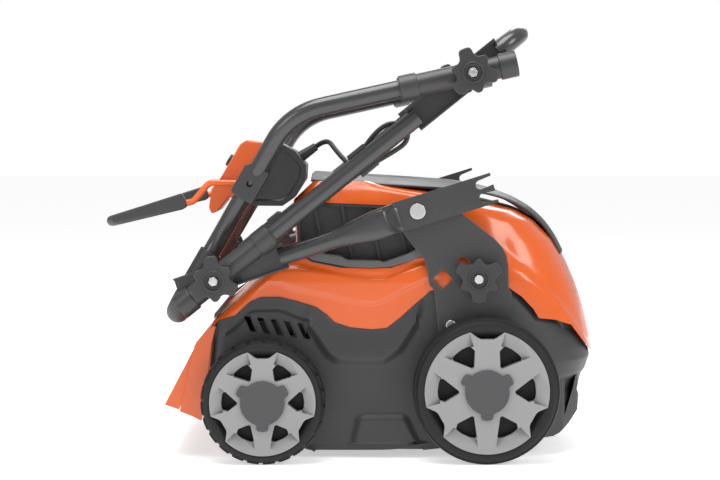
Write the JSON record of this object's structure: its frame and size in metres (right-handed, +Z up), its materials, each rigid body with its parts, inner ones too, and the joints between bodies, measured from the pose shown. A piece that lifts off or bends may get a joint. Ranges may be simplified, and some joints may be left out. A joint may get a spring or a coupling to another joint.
{
  "type": "lawn scarifier",
  "caption": "Walk-behind electric lawn scarifier with four wheels, orange hood, knife rotor under a tub and a three-part folding handle with bail and clamp knobs.",
  "frame": {"origin": "on the ground under the middle of the folded machine", "axes": "+X to the machine's front, +Y to its left side, +Z up"},
  "size_m": [0.6925, 0.593, 0.5976],
  "materials": {
    "orange_plastic": "glossy moulded orange",
    "dark_plastic": "fine-grained dark grey",
    "knob_plastic": "matt near-black",
    "grey_painted_steel": "satin dark grey powder coat",
    "orange_painted_steel": "satin orange powder coat",
    "tyre_rubber": "matt black",
    "rim_plastic": "satin light grey",
    "black_rubber": "soft black",
    "motor_aluminium": "cast",
    "bright_steel": "zinc plated"
  },
  "bodies": {
    "chassis": {"lower_housing": "dark_plastic", "hood": "orange_plastic", "top_cover": "dark_plastic", "side_panels": "dark_plastic", "flap_hinge_rod": "bright_steel", "handle_brackets": "grey_painted_steel", "bracket_rivets": "bright_steel", "bracket_screws": "bright_steel", "wheel_axles": "bright_steel", "shaft_bearings": "bright_steel", "motor_housing": "motor_aluminium", "drive_belt": "black_rubber", "cable_gland": "dark_plastic"},
    "rear_flap": {"rear_flap": "orange_plastic"},
    "front_right_wheel": {"front_right_tyre": "tyre_rubber", "front_right_rim": "rim_plastic", "front_right_hub_cap": "dark_plastic"},
    "front_left_wheel": {"front_left_tyre": "tyre_rubber", "front_left_rim": "rim_plastic", "front_left_hub_cap": "dark_plastic"},
    "rear_right_wheel": {"rear_right_tyre": "tyre_rubber", "rear_right_rim": "rim_plastic", "rear_right_hub_cap": "dark_plastic"},
    "rear_left_wheel": {"rear_left_tyre": "tyre_rubber", "rear_left_rim": "rim_plastic", "rear_left_hub_cap": "dark_plastic"},
    "rotor": {"rotor_shaft": "bright_steel", "knives": "bright_steel", "knife_spacers": "bright_steel", "rotor_pulley": "motor_aluminium"},
    "motor_rotor": {"motor_shaft": "bright_steel", "motor_pulley": "motor_aluminium", "cooling_fan": "dark_plastic"},
    "lower_handle": {"lower_bar_right": "grey_painted_steel", "lower_bar_left": "grey_painted_steel"},
    "middle_handle": {"middle_frame": "grey_painted_steel", "middle_sleeves": "dark_plastic", "elbow_bolts": "bright_steel", "cable_clip": "dark_plastic", "cable_lower": "black_rubber"},
    "upper_handle": {"upper_frame": "grey_painted_steel", "upper_sleeves": "dark_plastic", "top_bolts": "bright_steel", "handle_grip": "black_rubber", "clamp_blocks": "dark_plastic", "console_box": "dark_plastic", "console_cover": "orange_plastic", "strain_relief": "black_rubber", "cable_upper": "black_rubber"},
    "bail": {"bail_rod": "orange_painted_steel", "bail_grip": "knob_plastic"},
    "start_button": {"start_button": "dark_plastic"},
    "lock_stud_right": {"lock_stud_right": "bright_steel"},
    "lock_knob_right": {"lock_knob_right": "knob_plastic"},
    "elbow_knob_right": {"elbow_knob_right": "knob_plastic"},
    "top_knob_right": {"top_knob_right": "knob_plastic"},
    "lock_stud_left": {"lock_stud_left": "bright_steel"},
    "lock_knob_left": {"lock_knob_left": "knob_plastic"},
    "elbow_knob_left": {"elbow_knob_left": "knob_plastic"},
    "top_knob_left": {"top_knob_left": "knob_plastic"}
  },
  "joints": [
    {"name": "lower_fold", "type": "hinge", "parent": "chassis", "child": "lower_handle", "pos_m": [0.086, 0, 0.343], "axis": [0, 1, 0], "range_deg": [0, 70.9]},
    {"name": "middle_fold", "type": "hinge", "parent": "lower_handle", "child": "middle_handle", "pos_m": [-0.19012, 0, 0.25115], "axis": [0, -1, 0], "range_deg": [0, 160.3]},
    {"name": "upper_fold", "type": "hinge", "parent": "middle_handle", "child": "upper_handle", "pos_m": [0.15668, 0, 0.52999], "axis": [0, 1, 0], "range_deg": [0, 154.2]},
    {"name": "bail_hinge", "type": "hinge", "parent": "upper_handle", "child": "bail", "pos_m": [-0.14289, 0, 0.3809], "axis": [0, -1, 0], "range_deg": [0, 29], "stiffness_Nm_per_rad": 1, "springref_deg": -51.57},
    {"name": "start_press", "type": "slide", "parent": "upper_handle", "child": "start_button", "axis": [0.8634, 0, -0.5045], "range_m": [0, 0.003], "stiffness_N_per_m": 500, "springref_m": -0.001},
    {"name": "lock_slide_right", "type": "slide", "parent": "chassis", "child": "lock_stud_right", "axis": [-0.6691, 0, 0.7431], "range_m": [0, 0.031]},
    {"name": "lock_turn_right", "type": "hinge", "parent": "lock_stud_right", "child": "lock_knob_right", "pos_m": [0.16897, 0, 0.25085], "axis": [0, 1, 0], "continuous": true},
    {"name": "elbow_turn_right", "type": "hinge", "parent": "middle_handle", "child": "elbow_knob_right", "pos_m": [-0.19012, 0, 0.25115], "axis": [0, 1, 0], "continuous": true},
    {"name": "top_turn_right", "type": "hinge", "parent": "upper_handle", "child": "top_knob_right", "pos_m": [0.15668, 0, 0.52999], "axis": [0, 1, 0], "continuous": true},
    {"name": "lock_slide_left", "type": "slide", "parent": "chassis", "child": "lock_stud_left", "axis": [-0.6691, 0, 0.7431], "range_m": [0, 0.031]},
    {"name": "lock_turn_left", "type": "hinge", "parent": "lock_stud_left", "child": "lock_knob_left", "pos_m": [0.16897, 0, 0.25085], "axis": [0, 1, 0], "continuous": true},
    {"name": "elbow_turn_left", "type": "hinge", "parent": "middle_handle", "child": "elbow_knob_left", "pos_m": [-0.19012, 0, 0.25115], "axis": [0, 1, 0], "continuous": true},
    {"name": "top_turn_left", "type": "hinge", "parent": "upper_handle", "child": "top_knob_left", "pos_m": [0.15668, 0, 0.52999], "axis": [0, 1, 0], "continuous": true},
    {"name": "front_right_spin", "type": "hinge", "parent": "chassis", "child": "front_right_wheel", "pos_m": [0.179, 0, 0.1], "axis": [0, 1, 0], "continuous": true},
    {"name": "front_left_spin", "type": "hinge", "parent": "chassis", "child": "front_left_wheel", "pos_m": [0.179, 0, 0.1], "axis": [0, 1, 0], "continuous": true},
    {"name": "rear_right_spin", "type": "hinge", "parent": "chassis", "child": "rear_right_wheel", "pos_m": [-0.125, 0, 0.085], "axis": [0, 1, 0], "continuous": true},
    {"name": "rear_left_spin", "type": "hinge", "parent": "chassis", "child": "rear_left_wheel", "pos_m": [-0.125, 0, 0.085], "axis": [0, 1, 0], "continuous": true},
    {"name": "rotor_spin", "type": "hinge", "parent": "chassis", "child": "rotor", "pos_m": [0.042, 0, 0.062], "axis": [0, 1, 0], "continuous": true},
    {"name": "motor_spin", "type": "hinge", "parent": "chassis", "child": "motor_rotor", "pos_m": [0.17, 0, 0.222], "axis": [0, 1, 0], "continuous": true},
    {"name": "flap_hinge", "type": "hinge", "parent": "chassis", "child": "rear_flap", "pos_m": [-0.214, 0, 0.157], "axis": [0, 1, 0], "range_deg": [0, 70]}
  ],
  "couplings": [
    {"joint": "middle_fold", "follows": "lower_fold", "ratio": 2.2595},
    {"joint": "upper_fold", "follows": "lower_fold", "ratio": 2.1735},
    {"joint": "motor_spin", "follows": "rotor_spin", "ratio": 1.5}
  ]
}
